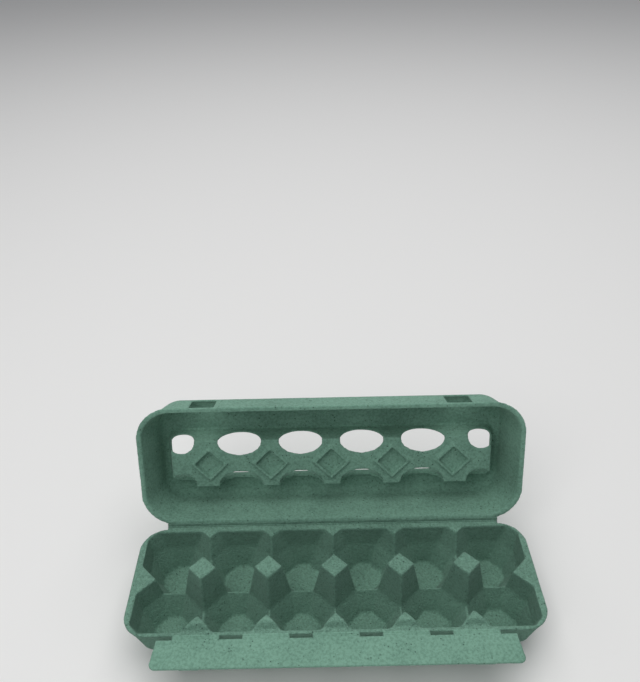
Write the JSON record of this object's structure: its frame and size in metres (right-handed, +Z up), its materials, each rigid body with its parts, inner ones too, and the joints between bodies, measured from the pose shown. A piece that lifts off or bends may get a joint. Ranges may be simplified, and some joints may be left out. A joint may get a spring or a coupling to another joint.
{
  "type": "egg carton",
  "caption": "Moulded pulp egg carton, lid standing open, with drafted cups, mid-line posts, a sunken viewing beam and a buttoned lock flap.",
  "frame": {"origin": "centre of the rest-pose bounding box, on the surface the cups stand on", "axes": "+X along the carton, +Y towards the lid hinge, +Z up"},
  "size_m": [0.3, 0.1812, 0.1339],
  "materials": {
    "pulp": "rough, fibrous, matt"
  },
  "bodies": {
    "tray": {"tray_rim": "pulp", "egg_cup_front_1": "pulp", "egg_cup_front_2": "pulp", "egg_cup_front_3": "pulp", "egg_cup_front_4": "pulp", "egg_cup_front_5": "pulp", "egg_cup_front_6": "pulp", "egg_cup_rear_1": "pulp", "egg_cup_rear_2": "pulp", "egg_cup_rear_3": "pulp", "egg_cup_rear_4": "pulp", "egg_cup_rear_5": "pulp", "egg_cup_rear_6": "pulp", "centre_post_1": "pulp", "centre_post_2": "pulp", "centre_post_3": "pulp", "centre_post_4": "pulp", "centre_post_5": "pulp", "lid_hinge": "pulp", "flap_hinge": "pulp"},
    "lid": {"lid_shell": "pulp", "viewing_beam": "pulp"},
    "lock_flap": {"lock_flap_panel": "pulp", "lock_button_left": "pulp", "lock_button_right": "pulp"}
  },
  "joints": [
    {"name": "lid_hinge_joint", "type": "hinge", "parent": "tray", "child": "lid", "pos_m": [0, 0.02736, 0.03715], "axis": [1, 0, 0], "range_deg": [-71, 108.3]},
    {"name": "flap_hinge_joint", "type": "hinge", "parent": "tray", "child": "lock_flap", "pos_m": [0, -0.06814, 0.0359], "axis": [-1, 0, 0], "range_deg": [-60, 96]}
  ]
}
